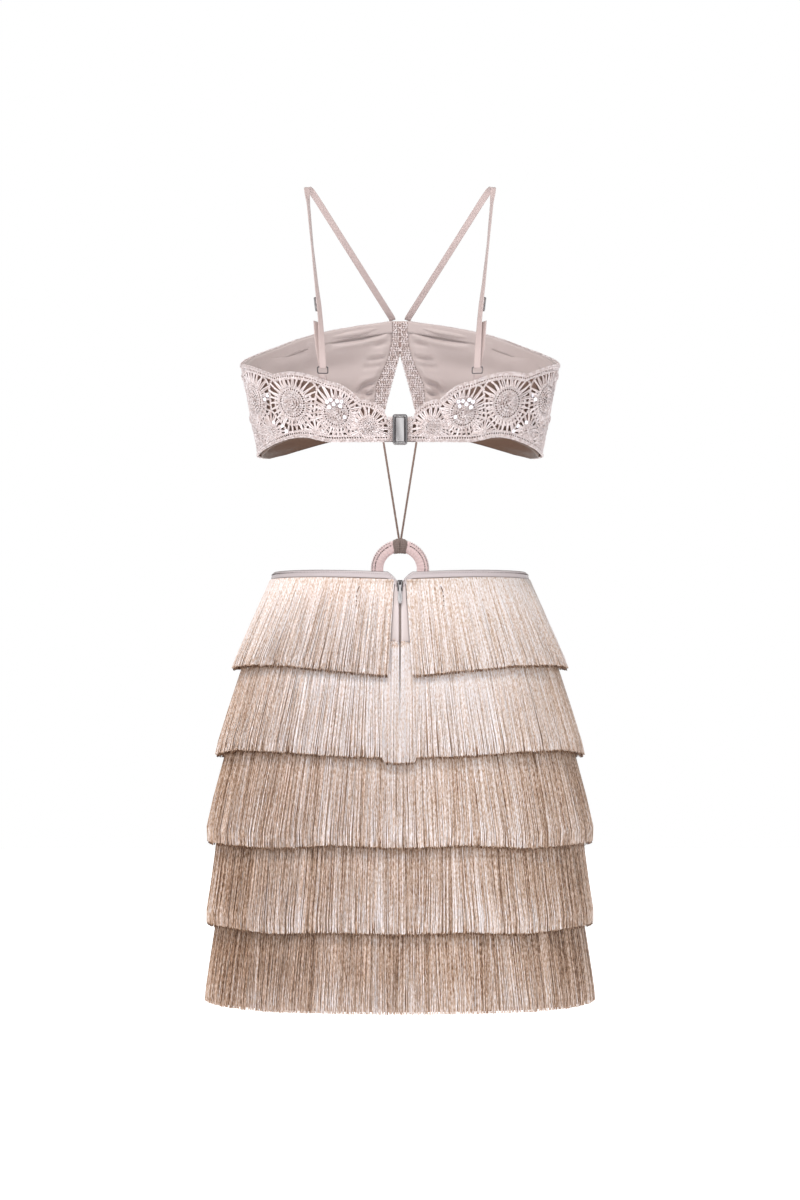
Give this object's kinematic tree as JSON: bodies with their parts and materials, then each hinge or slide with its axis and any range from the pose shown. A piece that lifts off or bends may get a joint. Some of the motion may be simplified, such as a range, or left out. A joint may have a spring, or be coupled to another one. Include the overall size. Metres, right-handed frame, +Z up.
{
  "type": "crochet mini dress",
  "caption": "Hollow cut-out mini dress: a lined crochet bralette with a back clasp, joined by cords and a front ring to a tiered fringe skirt with a back zip.",
  "frame": {"origin": "midway between the tops of the two shoulder straps, where the wearer's shoulders hold the dress", "axes": "+Z up, +X to the right as seen from behind the dress, -Y the dress's back with clasp and zip, +Y its front with the ring"},
  "size_m": [0.3845, 0.2759, 0.8147],
  "materials": {
    "crochet_yarn": "matt crocheted cotton yarn",
    "woven_lining": "smooth woven lining, matt",
    "polished_metal": "polished plated metal",
    "strap_tape": "narrow woven strap with a slight sheen",
    "cord": "thin braided cord",
    "covered_ring": "ring covered with stitched cloth",
    "wrap_cloth": "plain cloth wrap",
    "viscose_fringe": "twisted viscose threads with a satin sheen",
    "skirt_cloth": "plain woven base cloth",
    "satin_binding": "satin bound edge",
    "zip_tape": "woven zip tape with a fine coil"
  },
  "bodies": {
    "garment": {"clasp_frame": "polished_metal", "clasp_plate": "polished_metal", "cup_crochet_left": "crochet_yarn", "cup_crochet_right": "crochet_yarn", "cup_facing_left": "woven_lining", "cup_facing_right": "woven_lining", "cup_lining_left": "woven_lining", "cup_lining_right": "woven_lining", "fringe_tier_1": "viscose_fringe", "fringe_tier_2": "viscose_fringe", "fringe_tier_3": "viscose_fringe", "fringe_tier_4": "viscose_fringe", "fringe_tier_5": "viscose_fringe", "front_cord_left": "cord", "front_cord_right": "cord", "front_trim_left": "crochet_yarn", "front_trim_right": "crochet_yarn", "ring_wrap_lower": "wrap_cloth", "ring_wrap_upper": "wrap_cloth", "skirt_back_left": "skirt_cloth", "skirt_back_right": "skirt_cloth", "skirt_front_left": "skirt_cloth", "skirt_front_right": "skirt_cloth", "strap_left": "strap_tape", "strap_right": "strap_tape", "strap_ring_left": "polished_metal", "strap_ring_right": "polished_metal", "strap_slider_left": "polished_metal", "strap_slider_right": "polished_metal", "strap_tab_left": "strap_tape", "strap_tab_right": "strap_tape", "waist_binding": "satin_binding", "waist_ring": "covered_ring", "wing_crochet_left": "crochet_yarn", "wing_crochet_right": "crochet_yarn", "wing_lining_left": "woven_lining", "wing_lining_right": "woven_lining", "zip_slider": "polished_metal", "zip_tape_left": "zip_tape", "zip_tape_right": "zip_tape", "zip_teeth": "zip_tape"},
    "pull": {"zip_pull": "polished_metal"}
  },
  "joints": [
    {"name": "zip_pull_swing", "type": "hinge", "parent": "garment", "child": "pull", "pos_m": [0, -0.10424, -0.39536], "axis": [-1, 0, 0], "range_deg": [0, 150]}
  ]
}
